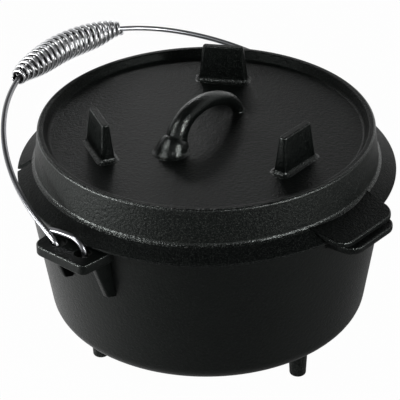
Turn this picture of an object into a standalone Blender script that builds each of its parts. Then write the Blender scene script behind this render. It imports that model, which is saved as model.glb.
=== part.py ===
"""Cast iron camp pot with a flanged lid, a hooked wire bail and a wound wire grip.

Four loose pieces, as on the real pot: the pot casting with its legs and ears, the lid casting
with its feet, tab and arched handle, the bent wire bail, and the spring wound round it.
Metres, +Z up. The origin is on the ground, on the pot's axis; the bail's ears lie along X and
the bail rests leaning towards +Y.
"""
import math

import bmesh
import bpy
from mathutils import Matrix, Vector

# Overall
OBJECT_NAME = "camp_pot"
SEAT_GAP = 0.0003
RUN_GAP = 0.0003
TURN_STEPS = 84
ARC_STEPS = 3
PLATE_STEPS = 5

# Pot casting: outer size at the rim, wall and floor
LEG_HEIGHT = 0.0373
POT_HEIGHT = 0.1187
POT_RIM_RADIUS = 0.1402
POT_TAPER = 0.0182
POT_WALL = 0.0050
POT_FLOOR = 0.0060
POT_CORNER_RADIUS = 0.0140
RIM_ROUND = 0.0014

# Legs under the pot
LEG_COUNT = 3
LEG_INSET = 0.0310
LEG_FIRST_ANGLE = 30.0
LEG_TIP_RADIUS = 0.0064
LEG_TOP_RADIUS = 0.0082
LEG_FLARE = 0.0030
LEG_FLARE_EDGE = 0.00006
LEG_TIP_ROUND = 0.0016
LEG_STEPS = 20

# Ears that hold the bail, one at each end of the X axis; lengths count from the rim
EAR_TOP_DROP = 0.0020
EAR_THICKNESS = 0.0085
EAR_LENGTH = 0.0253
EAR_ROOT_HALF_WIDTH = 0.0280
EAR_TIP_HALF_WIDTH = 0.0252
EAR_CORNER_RADIUS = 0.0085
EAR_EDGE_ROUND = 0.0012
EAR_HOLE_RADIUS = 0.0055
EAR_HOLE_MARGIN = 0.01425
EAR_HOLE_STEPS = 24
GUSSET_THICKNESS = 0.0050
GUSSET_INSET = 0.0013
GUSSET_DEPTH = 0.0315
GUSSET_SETBACK = 0.0140
GUSSET_TOE = 0.0060
GUSSET_TOE_ROUND = 0.0036
GUSSET_ROOT = 0.0034

# Lifting ear on the -Y side of the pot
FRONT_EAR_LENGTH = 0.0218
FRONT_EAR_ROOT_HALF_WIDTH = 0.0285
FRONT_EAR_TIP_HALF_WIDTH = 0.0262
FRONT_EAR_CORNER_RADIUS = 0.0110
FRONT_EAR_THICKNESS = 0.0068

# Lid casting
LID_HEIGHT = 0.0358
WALL_INSET = 0.0087
WALL_LEAN = 0.0030
LIP_WIDTH = 0.0048
LIP_DEPTH = 0.0066
LIP_INNER_RUN = 0.0036
LIP_INNER_ROUND = 0.0016
LIP_OUTER_ROUND = 0.0018
DECK_THICKNESS = 0.0050
DECK_FILLET = 0.0030
UNDER_FILLET = 0.0040
LID_WALL = 0.0048
WALL_FILLET = 0.0030
SKIRT_OVERHANG = 0.0050
SKIRT_RISE = 0.0086
SKIRT_DROP = 0.0014
SKIRT_EDGE_HEIGHT = 0.0017
SKIRT_EDGE_ROUND = 0.0012
SKIRT_UPPER_ROUND = 0.0010
SKIRT_LOWER_ROUND = 0.0007
RIB_DEPTH = 0.0048
RIB_CLEARANCE = 0.0018
RIB_ROUND = 0.0010

# Feet on the lid, with which it stands upside down
LID_FOOT_COUNT = 3
LID_FOOT_FIRST_ANGLE = 31.1
LID_FOOT_INSET = 0.0440
LID_FOOT_HEIGHT = 0.0293
LID_FOOT_BASE = (0.0385, 0.0112)
LID_FOOT_TOP = (0.0322, 0.0058)
LID_FOOT_FLARE = 0.0020
LID_FOOT_CORNER = 0.0026
LID_FOOT_TOP_CORNER = 0.0018
LID_FOOT_EDGE = 0.0010

# Arched handle on the lid: a bar that tapers from a round boss to its free foot
HANDLE_ANGLE = 1.1
ARCH_BOSS_END = -0.0339
ARCH_FOOT_END = 0.0394
ARCH_HEIGHT = 0.0252
ARCH_LEAN = 0.0083
ARCH_THICK_RADIUS = 0.0086
ARCH_THIN_RADIUS = 0.0043
ARCH_STEPS = 26
BOSS_OFFSET = 0.0081
BOSS_RADIUS = 0.0118
BOSS_HEIGHT = 0.0090
BOSS_SHIFT = 0.0058
BOSS_TILT = 30.0
BOSS_COLLAR_RADIUS = 0.0102
BOSS_FLARE = 0.0016
BOSS_STEPS = 24

# Tab on the lid's skirt, over the lifting ear, and the probe notch
TAB_LENGTH = 0.0120
TAB_ROOT_HALF_WIDTH = 0.0350
TAB_TIP_HALF_WIDTH = 0.0334
TAB_CORNER_RADIUS = 0.0120
TAB_THICKNESS = 0.0044
TAB_EDGE_ROUND = 0.0010
TAB_DROOP = 12.3
NOTCH_ANGLE = 133.1
NOTCH_WIDTH = 0.0064
NOTCH_DEPTH = 0.0092

# Bail wire: a bow with a rounder top than sides, and a hook at each foot
BAIL_WIRE_RADIUS = 0.0021
BAIL_RISE = 0.0121
BAIL_TOP_INSET = 0.0102
BAIL_TILT = 69.2
BOW_START = 7.0
BOW_SIDE_STEPS = 12
BOW_TOP_STEPS = 26
EYE_RADIUS = 0.0120
EYE_BEND_RADIUS = 0.0050
EYE_END_RADIUS = 0.0900
EYE_END_ANGLE = 15.0
EYE_STEP = 0.0045
EYE_HEEL = 20.0
EYE_STEPS = 18

# Grip: a barrel-shaped spring wound round the bail
GRIP_LENGTH = 0.1200
GRIP_TURNS = 21.5
GRIP_WIRE_RADIUS = 0.0015
GRIP_BARREL_RADIUS = 0.0117
GRIP_FLATNESS = 0.6
GRIP_SWELL_POWER = 1.7
GRIP_END_POWER = 6
GRIP_SHIFT = 0.8
GRIP_END_CLOSING = 0.065
GRIP_POINTS_PER_TURN = 9

# Sizes worked out from the ones above
RIM_Z = LEG_HEIGHT + POT_HEIGHT
WALL_SLOPE = POT_TAPER / POT_HEIGHT
POT_BOTTOM_RADIUS = POT_RIM_RADIUS - POT_TAPER
LEG_CIRCLE_RADIUS = POT_BOTTOM_RADIUS - LEG_INSET
EAR_REACH = POT_RIM_RADIUS + EAR_LENGTH
EAR_HOLE_X = EAR_REACH - EAR_HOLE_MARGIN
FRONT_EAR_REACH = POT_RIM_RADIUS + FRONT_EAR_LENGTH
WALL_FOOT_RADIUS = POT_RIM_RADIUS - WALL_INSET
LIP_RADIUS = WALL_FOOT_RADIUS - WALL_LEAN
SKIRT_RADIUS = POT_RIM_RADIUS + SKIRT_OVERHANG
TAB_REACH = SKIRT_RADIUS + TAB_LENGTH
LID_FOOT_CIRCLE_RADIUS = LIP_RADIUS - LID_FOOT_INSET
BOSS_CENTRE = ARCH_BOSS_END - BOSS_OFFSET
BAIL_HALF_WIDTH = EAR_HOLE_X + EYE_STEP / 2
BAIL_REACH = BAIL_HALF_WIDTH + BAIL_RISE
BAIL_TOP_RADIUS = BAIL_HALF_WIDTH - BAIL_TOP_INSET
LID_SEAT_Z = RIM_Z + SEAT_GAP
LID_TOP_Z = LID_SEAT_Z + LID_HEIGHT
DECK_Z = LID_TOP_Z - LIP_DEPTH
EAR_TOP_Z = RIM_Z - EAR_TOP_DROP
PIVOT_Z = EAR_TOP_Z - EAR_THICKNESS / 2
TOP_CENTRE = BAIL_REACH - BAIL_TOP_RADIUS
SKIRT_EDGE_Z = LID_SEAT_Z - SKIRT_DROP


def pot_radius(z):
    """Outer radius of the pot's wall at height z."""
    return POT_BOTTOM_RADIUS + WALL_SLOPE * (z - LEG_HEIGHT)


def clear_scene():
    for item in list(bpy.data.objects):
        bpy.data.objects.remove(item, do_unlink=True)


def new_collection(name):
    collection = bpy.data.collections.new(name)
    bpy.context.scene.collection.children.link(collection)
    return collection


def material(name, colour, roughness, metallic):
    mat = bpy.data.materials.new(name)
    mat.use_nodes = True
    shader = mat.node_tree.nodes["Principled BSDF"]
    shader.inputs["Base Color"].default_value = (*colour, 1.0)
    shader.inputs["Roughness"].default_value = roughness
    shader.inputs["Metallic"].default_value = metallic
    return mat


def place(item, collection, matrix=None):
    collection.objects.link(item)
    if matrix is not None:
        item.matrix_world = matrix
    return item


def as_tool(item):
    """Marks an object as a shape that only joins or cuts another."""
    item.hide_render = True
    item.display_type = "WIRE"
    return item


def arc(centre, radius, start, end, steps):
    """Points on a circle from the start angle to the end angle, in degrees."""
    points = []
    for i in range(steps + 1):
        angle = math.radians(start + (end - start) * i / steps)
        points.append((centre[0] + radius * math.cos(angle), centre[1] + radius * math.sin(angle)))
    return points


def rounded(corners, steps=ARC_STEPS, closed=False):
    """An outline through corners (x, y, radius), each corner turned into a tangent arc."""
    count = len(corners)
    points = []
    for i, (x, y, radius) in enumerate(corners):
        here = Vector((x, y))
        if radius <= 0.0 or (not closed and i in (0, count - 1)):
            points.append((x, y))
            continue
        before = (Vector(corners[i - 1][:2]) - here).normalized()
        after = (Vector(corners[(i + 1) % count][:2]) - here).normalized()
        half = before.angle(after) / 2
        reach = radius / math.tan(half)
        centre = here + (before + after).normalized() * (radius / math.sin(half))
        first = here + before * reach - centre
        last = here + after * reach - centre
        turn = first.angle_signed(last)
        for k in range(steps + 1):
            spoke = first.copy()
            spoke.rotate(Matrix.Rotation(-turn * k / steps, 2))
            points.append(tuple(centre + spoke))
    return points


def turned(name, profile, steps=TURN_STEPS):
    """A solid of revolution about Z from a profile of (radius, height) points."""
    mesh = bpy.data.meshes.new(name)
    vertices = [(radius, 0.0, height) for radius, height in profile]
    edges = [(i, i + 1) for i in range(len(profile) - 1)]
    mesh.from_pydata(vertices, edges, [])
    item = bpy.data.objects.new(name, mesh)
    screw = item.modifiers.new("turn", "SCREW")
    screw.axis = "Z"
    screw.steps = steps
    screw.render_steps = steps
    screw.use_merge_vertices = True
    screw.merge_threshold = 0.00001
    screw.use_smooth_shade = True
    return item


def mesh_from_curve(name, curve):
    """A curve's solid as a mesh object, with the caps welded on."""
    source = bpy.data.objects.new(name + "_curve", curve)
    bpy.context.scene.collection.objects.link(source)
    depsgraph = bpy.context.evaluated_depsgraph_get()
    mesh = bpy.data.meshes.new_from_object(source.evaluated_get(depsgraph))
    bpy.data.objects.remove(source, do_unlink=True)
    work = bmesh.new()
    work.from_mesh(mesh)
    bmesh.ops.remove_doubles(work, verts=work.verts, dist=0.000002)
    bmesh.ops.recalc_face_normals(work, faces=work.faces)
    work.to_mesh(mesh)
    work.free()
    return bpy.data.objects.new(name, mesh)


def wire_curve(name, points, radius, resolution, radii=None):
    """A round bar along points, with flat ends."""
    curve = bpy.data.curves.new(name, "CURVE")
    curve.dimensions = "3D"
    curve.bevel_depth = radius
    curve.bevel_resolution = resolution
    curve.use_fill_caps = True
    spline = curve.splines.new("POLY")
    spline.points.add(len(points) - 1)
    for i, point in enumerate(points):
        spline.points[i].co = (*point, 1.0)
        spline.points[i].radius = radii[i] / radius if radii else 1.0
    return curve


def plate(name, outline, thickness, edge_round):
    """A flat cast plate in the XY plane, centred on it, with rounded top and bottom edges."""
    curve = bpy.data.curves.new(name, "CURVE")
    curve.dimensions = "2D"
    curve.fill_mode = "BOTH"
    curve.extrude = thickness / 2 - edge_round
    curve.bevel_depth = edge_round
    curve.bevel_resolution = 1
    curve.offset = -edge_round
    spline = curve.splines.new("POLY")
    spline.points.add(len(outline) - 1)
    for point, (x, y) in zip(spline.points, outline):
        point.co = (x, y, 0.0, 1.0)
    spline.use_cyclic_u = True
    return mesh_from_curve(name, curve)


def combine(target, other, operation):
    joint = target.modifiers.new(operation.lower() + "_" + other.name, "BOOLEAN")
    joint.operation = operation
    joint.solver = "EXACT"
    joint.object = other


def turn_z(degrees):
    return Matrix.Rotation(math.radians(degrees), 4, "Z")


def pot_profile():
    """From the middle of the inner floor, up the inside, over the rim and down the outside."""
    inner_floor = LEG_HEIGHT + POT_FLOOR
    inner_top = pot_radius(RIM_Z) - POT_WALL
    inner_bottom = pot_radius(inner_floor) - POT_WALL
    inner_corner = POT_CORNER_RADIUS - POT_WALL / 2
    corners = [
        (0.0, inner_floor, 0.0),
        (inner_bottom, inner_floor, inner_corner),
        (inner_top, RIM_Z, RIM_ROUND),
        (POT_RIM_RADIUS, RIM_Z, RIM_ROUND),
        (POT_BOTTOM_RADIUS, LEG_HEIGHT, POT_CORNER_RADIUS),
        (0.0, LEG_HEIGHT, 0.0),
    ]
    return rounded(corners, steps=PLATE_STEPS)


def shelf_outline(reach, root_half, tip_half, corner_radius, root_radius):
    """A shelf that runs out along +X from an arc inside a round wall's thickness."""
    spread = math.degrees(math.asin(root_half / root_radius))
    root = arc((0.0, 0.0), root_radius, spread, -spread, 2 * PLATE_STEPS)
    free = rounded([
        (*root[-1], 0.0),
        (reach, -tip_half, corner_radius),
        (reach, tip_half, corner_radius),
        (*root[0], 0.0),
    ], steps=PLATE_STEPS)
    return root + free[1:-1]


def make_gusset(name, side):
    """An upright web under one side of a bail ear, in the XZ plane.

    Its buried edge leans with the pot's wall and stays inside the wall's thickness.
    """
    top = PIVOT_Z
    under = EAR_TOP_Z - EAR_THICKNESS
    foot = under - GUSSET_DEPTH
    heel = foot - GUSSET_TOE_ROUND
    outer = EAR_REACH - GUSSET_SETBACK
    toe = pot_radius(foot) + GUSSET_TOE
    outline = rounded([
        (pot_radius(top) - GUSSET_ROOT, top, 0.0),
        (pot_radius(heel) - GUSSET_ROOT, heel, 0.0),
        (toe, foot, GUSSET_TOE_ROUND),
        (outer, under, 0.0),
        (outer, top, 0.0),
    ], closed=True)
    web = plate(name, outline, GUSSET_THICKNESS, EAR_EDGE_ROUND)
    y = side * (EAR_TIP_HALF_WIDTH - GUSSET_INSET - GUSSET_THICKNESS / 2)
    upright = Matrix.Translation((0.0, y, 0.0)) @ Matrix.Rotation(math.radians(90.0), 4, "X")
    return web, upright


def add_bail_ear(pot, tools, name, angle):
    root = pot_radius(PIVOT_Z) - POT_WALL / 2
    outline = shelf_outline(EAR_REACH, EAR_ROOT_HALF_WIDTH, EAR_TIP_HALF_WIDTH,
                            EAR_CORNER_RADIUS, root)
    shelf = plate(name + "_shelf", outline, EAR_THICKNESS, EAR_EDGE_ROUND)
    place(as_tool(shelf), tools, turn_z(angle) @ Matrix.Translation((0.0, 0.0, PIVOT_Z)))
    combine(pot, shelf, "UNION")
    for side in (-1, 1):
        web, upright = make_gusset(name + ("_web_a" if side < 0 else "_web_b"), side)
        place(as_tool(web), tools, turn_z(angle) @ upright)
        combine(pot, web, "UNION")


def cut_ear_holes(pot, tools, angle):
    """Two holes through a bail ear, on either side of the bar that the bail hooks round."""
    for side in (-1, 1):
        spot = turn_z(angle) @ Vector((EAR_HOLE_X, side * EYE_RADIUS, PIVOT_Z))
        name = "ear_hole_%d_%s" % (angle, "a" if side < 0 else "b")
        drill = bpy.data.objects.new(name, bpy.data.meshes.new(name))
        work = bmesh.new()
        bmesh.ops.create_cone(work, cap_ends=True, segments=EAR_HOLE_STEPS,
                              radius1=EAR_HOLE_RADIUS, radius2=EAR_HOLE_RADIUS,
                              depth=EAR_THICKNESS + 2 * EAR_EDGE_ROUND)
        work.to_mesh(drill.data)
        work.free()
        place(as_tool(drill), tools, Matrix.Translation(spot))
        combine(pot, drill, "DIFFERENCE")


def add_front_ear(pot, tools):
    root = pot_radius(PIVOT_Z) - POT_WALL / 2
    outline = shelf_outline(FRONT_EAR_REACH, FRONT_EAR_ROOT_HALF_WIDTH, FRONT_EAR_TIP_HALF_WIDTH,
                            FRONT_EAR_CORNER_RADIUS, root)
    shelf = plate("front_ear_shelf", outline, FRONT_EAR_THICKNESS, EAR_EDGE_ROUND)
    middle = EAR_TOP_Z - FRONT_EAR_THICKNESS / 2
    place(as_tool(shelf), tools, turn_z(-90.0) @ Matrix.Translation((0.0, 0.0, middle)))
    combine(pot, shelf, "UNION")


def leg_profile():
    """A round peg that flares into the pot's floor, from its buried top down to its tip."""
    buried = LEG_HEIGHT + POT_FLOOR / 2
    return rounded([
        (0.0, buried, 0.0),
        (LEG_TOP_RADIUS + LEG_FLARE, buried, 0.0),
        (LEG_TOP_RADIUS + LEG_FLARE, LEG_HEIGHT - LEG_FLARE_EDGE, 0.0),
        (LEG_TOP_RADIUS, LEG_HEIGHT - LEG_FLARE, 0.0),
        (LEG_TIP_RADIUS, 0.0, LEG_TIP_ROUND),
        (0.0, 0.0, 0.0),
    ])


def add_legs(pot, tools):
    for i in range(LEG_COUNT):
        angle = LEG_FIRST_ANGLE + 360.0 / LEG_COUNT * i
        leg = turned("leg_%d" % (i + 1), leg_profile(), steps=LEG_STEPS)
        place(as_tool(leg), tools, turn_z(angle) @ Matrix.Translation((LEG_CIRCLE_RADIUS, 0, 0)))
        combine(pot, leg, "UNION")


def build_pot(parts, tools, iron):
    pot = turned("pot", pot_profile())
    pot.data.materials.append(iron)
    place(pot, parts)
    add_legs(pot, tools)
    for name, angle in (("ear_right", 0.0), ("ear_left", 180.0)):
        add_bail_ear(pot, tools, name, angle)
    add_front_ear(pot, tools)
    for angle in (0.0, 180.0):
        cut_ear_holes(pot, tools, angle)
    return pot


def lid_profile():
    """From the middle of the deck, over the lip, down the wall and skirt, and back underneath."""
    skirt_top = LID_SEAT_Z + SKIRT_RISE
    rib_outer = POT_RIM_RADIUS - POT_WALL - RIB_CLEARANCE
    rib_inner = rib_outer - LID_WALL
    under = DECK_Z - DECK_THICKNESS
    corners = [
        (0.0, DECK_Z, 0.0),
        (LIP_RADIUS - LIP_WIDTH - LIP_INNER_RUN, DECK_Z, DECK_FILLET),
        (LIP_RADIUS - LIP_WIDTH, LID_TOP_Z, LIP_INNER_ROUND),
        (LIP_RADIUS, LID_TOP_Z, LIP_OUTER_ROUND),
        (WALL_FOOT_RADIUS, skirt_top, WALL_FILLET),
        (SKIRT_RADIUS, SKIRT_EDGE_Z + SKIRT_EDGE_HEIGHT, SKIRT_UPPER_ROUND),
        (SKIRT_RADIUS, SKIRT_EDGE_Z, SKIRT_LOWER_ROUND),
        (SKIRT_RADIUS - SKIRT_EDGE_ROUND, SKIRT_EDGE_Z, 0.0),
        (POT_RIM_RADIUS, LID_SEAT_Z, 0.0),
        (rib_outer, LID_SEAT_Z, 0.0),
        (rib_outer, LID_SEAT_Z - RIB_DEPTH, RIB_ROUND),
        (rib_inner, LID_SEAT_Z - RIB_DEPTH, RIB_ROUND),
        (LIP_RADIUS - LID_WALL, under, UNDER_FILLET),
        (0.0, under, 0.0),
    ]
    return rounded(corners)


def loft(name, sections):
    """A closed solid through rings of as many points each, bottom ring first."""
    mesh = bpy.data.meshes.new(name)
    count = len(sections[0])
    vertices = [point for ring in sections for point in ring]
    faces = [tuple(reversed(range(count)))]
    for row in range(len(sections) - 1):
        for k in range(count):
            here = row * count + k
            beside = row * count + (k + 1) % count
            faces.append((here, beside, beside + count, here + count))
    last = (len(sections) - 1) * count
    faces.append(tuple(range(last, last + count)))
    mesh.from_pydata(vertices, [], faces)
    return bpy.data.objects.new(name, mesh)


def block_section(length, width, height, corner):
    """A rectangle with round corners, long along Y, at one height."""
    x = width / 2
    y = length / 2
    outline = rounded([(x, -y, corner), (x, y, corner), (-x, y, corner), (-x, -y, corner)],
                      steps=2, closed=True)
    return [(px, py, height) for px, py in outline]


def make_lid_foot(name):
    """A tapered blade set across the lid's radius, flared where it grows from the deck."""
    length, width = LID_FOOT_BASE
    top_length, top_width = LID_FOOT_TOP
    edge = LID_FOOT_EDGE
    rings = [
        (-DECK_THICKNESS / 2, LID_FOOT_FLARE, LID_FOOT_CORNER + LID_FOOT_FLARE),
        (0.0, LID_FOOT_FLARE, LID_FOOT_CORNER + LID_FOOT_FLARE),
        (LID_FOOT_FLARE * 0.4, LID_FOOT_FLARE * 0.4, LID_FOOT_CORNER + LID_FOOT_FLARE * 0.4),
        (LID_FOOT_FLARE * 1.3, 0.0, LID_FOOT_CORNER),
        (LID_FOOT_HEIGHT - edge, 0.0, LID_FOOT_TOP_CORNER),
        (LID_FOOT_HEIGHT, -edge, LID_FOOT_TOP_CORNER - edge * 0.8),
    ]
    sections = []
    for height, spread, corner in rings:
        share = max(height, 0.0) / LID_FOOT_HEIGHT
        sections.append(block_section(length + (top_length - length) * share + 2 * spread,
                                      width + (top_width - width) * share + 2 * spread,
                                      height, corner))
    return loft(name, sections)


def add_lid_feet(lid, tools):
    for i in range(LID_FOOT_COUNT):
        angle = LID_FOOT_FIRST_ANGLE + 360.0 / LID_FOOT_COUNT * i
        foot = make_lid_foot("lid_foot_%d" % (i + 1))
        place(as_tool(foot), tools,
              turn_z(angle) @ Matrix.Translation((LID_FOOT_CIRCLE_RADIUS, 0.0, DECK_Z)))
        combine(lid, foot, "UNION")


def arch_point(share):
    """The bar's middle line: half an ellipse whose top leans towards the boss."""
    angle = math.pi * (1.0 - share)
    middle = (ARCH_BOSS_END + ARCH_FOOT_END) / 2
    half_span = (ARCH_FOOT_END - ARCH_BOSS_END) / 2
    lift = math.sin(angle)
    return (middle + half_span * math.cos(angle) - ARCH_LEAN * lift, 0.0, ARCH_HEIGHT * lift)


def add_handle(lid, tools):
    shares = [i / ARCH_STEPS for i in range(ARCH_STEPS + 1)]
    points = [arch_point(share) for share in shares]
    radii = [ARCH_THICK_RADIUS + (ARCH_THIN_RADIUS - ARCH_THICK_RADIUS) * share for share in shares]
    sink = -DECK_THICKNESS / 2
    points = [(ARCH_BOSS_END, 0.0, sink)] + points + [(ARCH_FOOT_END, 0.0, sink)]
    radii = [radii[0]] + radii + [radii[-1]]
    bar = mesh_from_curve("lid_arch", wire_curve("lid_arch", points, ARCH_THICK_RADIUS, 3, radii))
    deck = turn_z(HANDLE_ANGLE) @ Matrix.Translation((0.0, 0.0, DECK_Z))
    for part in (bar, make_boss("lid_boss")):
        place(as_tool(part), tools, deck)
        combine(lid, part, "UNION")


def make_boss(name):
    """A bell that leans inwards with the bar and ends in a rounded collar."""
    sections = []
    rings = ((0.0, BOSS_RADIUS + BOSS_FLARE), (0.10, BOSS_RADIUS + BOSS_FLARE * 0.4),
             (0.28, BOSS_RADIUS), (0.60, (BOSS_RADIUS + BOSS_COLLAR_RADIUS) / 2),
             (0.86, BOSS_COLLAR_RADIUS), (0.96, BOSS_COLLAR_RADIUS * 0.94),
             (1.0, BOSS_COLLAR_RADIUS * 0.82))
    for share, radius in ((None, BOSS_RADIUS + BOSS_FLARE),) + rings:
        rise = 0.0 if share is None else share
        tilt = math.radians(BOSS_TILT) * rise
        centre_x = BOSS_CENTRE + BOSS_SHIFT * rise
        centre_z = -DECK_THICKNESS / 2 if share is None else BOSS_HEIGHT * rise
        ring = []
        for u, v in arc((0.0, 0.0), radius, 0.0, 360.0, BOSS_STEPS)[:-1]:
            ring.append((centre_x + u * math.cos(tilt), v, centre_z - u * math.sin(tilt)))
        sections.append(ring)
    return loft(name, sections)


def add_tab(lid, tools):
    """A plate that grows out of the skirt and droops with it, over the pot's lifting ear."""
    outline = shelf_outline(TAB_REACH, TAB_ROOT_HALF_WIDTH, TAB_TIP_HALF_WIDTH,
                            TAB_CORNER_RADIUS, WALL_FOOT_RADIUS - LID_WALL / 2)
    tab = plate("lid_tab", outline, TAB_THICKNESS, TAB_EDGE_ROUND)
    outer_z = EAR_TOP_Z + TAB_THICKNESS / 2 + SEAT_GAP * 2
    edge = Matrix.Translation((TAB_REACH, 0.0, 0.0))
    droop = edge @ Matrix.Rotation(math.radians(TAB_DROOP), 4, "Y") @ edge.inverted()
    place(as_tool(tab), tools,
          turn_z(-90.0) @ Matrix.Translation((0.0, 0.0, outer_z)) @ droop)
    combine(lid, tab, "UNION")


def cut_notch(lid, tools):
    """A round-ended slot in the skirt's edge for a probe's cable."""
    inner = SKIRT_RADIUS - NOTCH_DEPTH + NOTCH_WIDTH / 2
    beyond = SKIRT_RADIUS + NOTCH_WIDTH
    outline = [(beyond, -NOTCH_WIDTH / 2), (beyond, NOTCH_WIDTH / 2)]
    outline += arc((inner, 0.0), NOTCH_WIDTH / 2, 90.0, 270.0, 8)
    tall = SKIRT_RISE * 3
    cutter = loft("notch_cutter", [[(x, y, LID_SEAT_Z - tall / 2) for x, y in outline],
                                   [(x, y, LID_SEAT_Z + tall) for x, y in outline]])
    place(as_tool(cutter), tools, turn_z(NOTCH_ANGLE))
    combine(lid, cutter, "DIFFERENCE")


def build_lid(parts, tools, iron):
    lid = turned("lid", lid_profile())
    lid.data.materials.append(iron)
    place(lid, parts)
    add_lid_feet(lid, tools)
    add_handle(lid, tools)
    add_tab(lid, tools)
    cut_notch(lid, tools)
    return lid


def side_arc():
    """Centre distance and radius of the flatter arcs that join the bail's top to its feet.

    Each starts square to the ears' axis and meets the top arc with no corner, so its radius r
    solves (r - half width)^2 + top centre^2 = (r - top radius)^2.
    """
    squares = BAIL_HALF_WIDTH ** 2 + TOP_CENTRE ** 2 - BAIL_TOP_RADIUS ** 2
    radius = squares / (2 * (BAIL_HALF_WIDTH - BAIL_TOP_RADIUS))
    return radius - BAIL_HALF_WIDTH, radius


def eye_points():
    """The hook at the -X end, from its cut end to the foot of the straight wire.

    In the upright bail's frame, as (x, y, z) with the ear's bar along X through the origin.
    The wire's end lies beside the main wire, curves over, goes down the far hole, under the
    bar, and up through the near hole.
    """
    tilt = math.radians(BAIL_TILT)
    inner_x = -BAIL_HALF_WIDTH + EYE_STEP
    world = []
    crown = (0.0, EYE_RADIUS - EYE_END_RADIUS)
    for y, z in arc(crown, EYE_END_RADIUS, 90.0 - EYE_END_ANGLE, 90.0, 5):
        world.append((inner_x, y, z))
    bend_centre = EYE_RADIUS + EYE_BEND_RADIUS
    bend_angle = math.degrees(math.asin(EYE_BEND_RADIUS / bend_centre))
    join = 90.0 - BAIL_TILT - bend_angle
    round_bar = 270.0 + join
    ring = arc((0.0, 0.0), EYE_RADIUS, 90.0, 90.0 + round_bar, EYE_STEPS)
    heel_start = 180.0 + EYE_HEEL
    heel_end = 360.0 - EYE_HEEL
    for i, (y, z) in enumerate(ring[1:]):
        swept = 90.0 + round_bar * (i + 1) / EYE_STEPS
        share = min(max((swept - heel_start) / (heel_end - heel_start), 0.0), 1.0)
        world.append((inner_x - EYE_STEP * share, y, z))
    along = Vector((0.0, math.sin(tilt), math.cos(tilt)))
    below = Vector((0.0, math.cos(tilt), -math.sin(tilt)))
    start = along * math.sqrt(bend_centre ** 2 - EYE_BEND_RADIUS ** 2) + below * EYE_BEND_RADIUS
    for i in range(1, 5):
        angle = math.radians(180.0 - bend_angle - (90.0 - bend_angle) * i / 4)
        spoke = along * math.cos(angle) + below * -math.sin(angle)
        point = start + spoke * EYE_BEND_RADIUS
        world.append((-BAIL_HALF_WIDTH, point.y, point.z))
    upright = Matrix.Rotation(tilt, 3, "X")
    return [upright @ Vector(point) for point in world]


def arch_points():
    """The bail's bow from the -X foot over the top to the +X foot, in the upright XZ plane."""
    offset, radius = side_arc()
    meet = math.degrees(math.atan2(TOP_CENTRE, offset))
    right = arc((-offset, 0.0), radius, BOW_START, meet, BOW_SIDE_STEPS)
    top = arc((0.0, TOP_CENTRE), BAIL_TOP_RADIUS, meet, 180.0 - meet, BOW_TOP_STEPS)
    left = [(-x, z) for x, z in reversed(right)]
    outline = right[:-1] + top + left[1:]
    return [(x, 0.0, z) for x, z in reversed(outline)]


def build_bail(parts, pivot, steel):
    eye = eye_points()
    mirrored = [Vector((-p.x, p.y, p.z)) for p in reversed(eye)]
    points = eye + [Vector(p) for p in arch_points()] + mirrored
    curve = wire_curve("bail", points, BAIL_WIRE_RADIUS, 2)
    curve.materials.append(steel)
    bail = bpy.data.objects.new("bail", curve)
    place(bail, parts)
    bail.parent = pivot
    return bail


def grip_points():
    """The spring's wire: a barrel-shaped helix round the bail's top arc.

    The spring is stiffer than the bend that it sits on, so its middle lies inside the wire's
    arc and its ends a little outside, always clear of the wire by the running gap.
    """
    half = GRIP_LENGTH / 2 / BAIL_TOP_RADIUS
    snug = BAIL_WIRE_RADIUS + GRIP_WIRE_RADIUS + RUN_GAP
    wide = GRIP_BARREL_RADIUS - GRIP_WIRE_RADIUS
    count = int(GRIP_TURNS * GRIP_POINTS_PER_TURN)
    points = []
    for i in range(count + 1):
        wound = 2.0 * i / count - 1.0
        place_along = wound * (1.0 + GRIP_END_CLOSING * (1.0 - wound ** 2))
        along = math.radians(GRIP_SHIFT) + half * place_along
        swell = math.cos(math.pi / 2 * abs(place_along) ** GRIP_SWELL_POWER)
        slack = (wide - snug) * swell
        sag = slack * (GRIP_FLATNESS - (1.0 + GRIP_FLATNESS) * place_along ** GRIP_END_POWER)
        turn = math.pi * GRIP_TURNS * (wound + 1.0)
        out = BAIL_TOP_RADIUS - sag + (snug + slack) * math.cos(turn)
        side = (snug + slack) * math.sin(turn)
        points.append((out * math.sin(along), side, out * math.cos(along)))
    return points


def least_gap_to_itself(points, radius, per_turn):
    """Smallest clear distance between two turns of a wire, measured on its points."""
    least = 1.0
    for i, here in enumerate(points):
        for there in points[i + per_turn // 2 + 2:i + 2 * per_turn]:
            least = min(least, math.dist(here, there))
    return least - 2 * radius


def build_grip(parts, centre, steel):
    points = grip_points()
    curve = wire_curve("grip_spring", points, GRIP_WIRE_RADIUS, 1)
    curve.materials.append(steel)
    grip = bpy.data.objects.new("grip_spring", curve)
    place(grip, parts)
    grip.parent = centre
    gap = least_gap_to_itself(points, GRIP_WIRE_RADIUS, GRIP_POINTS_PER_TURN)
    print("grip spring: %d turns, least gap to itself %.2f mm" % (GRIP_TURNS, gap * 1000))
    return grip


def new_empty(name, collection, location, parent=None):
    empty = bpy.data.objects.new(name, None)
    empty.empty_display_size = 0.02
    collection.objects.link(empty)
    empty.location = location
    empty.parent = parent
    return empty


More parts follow.
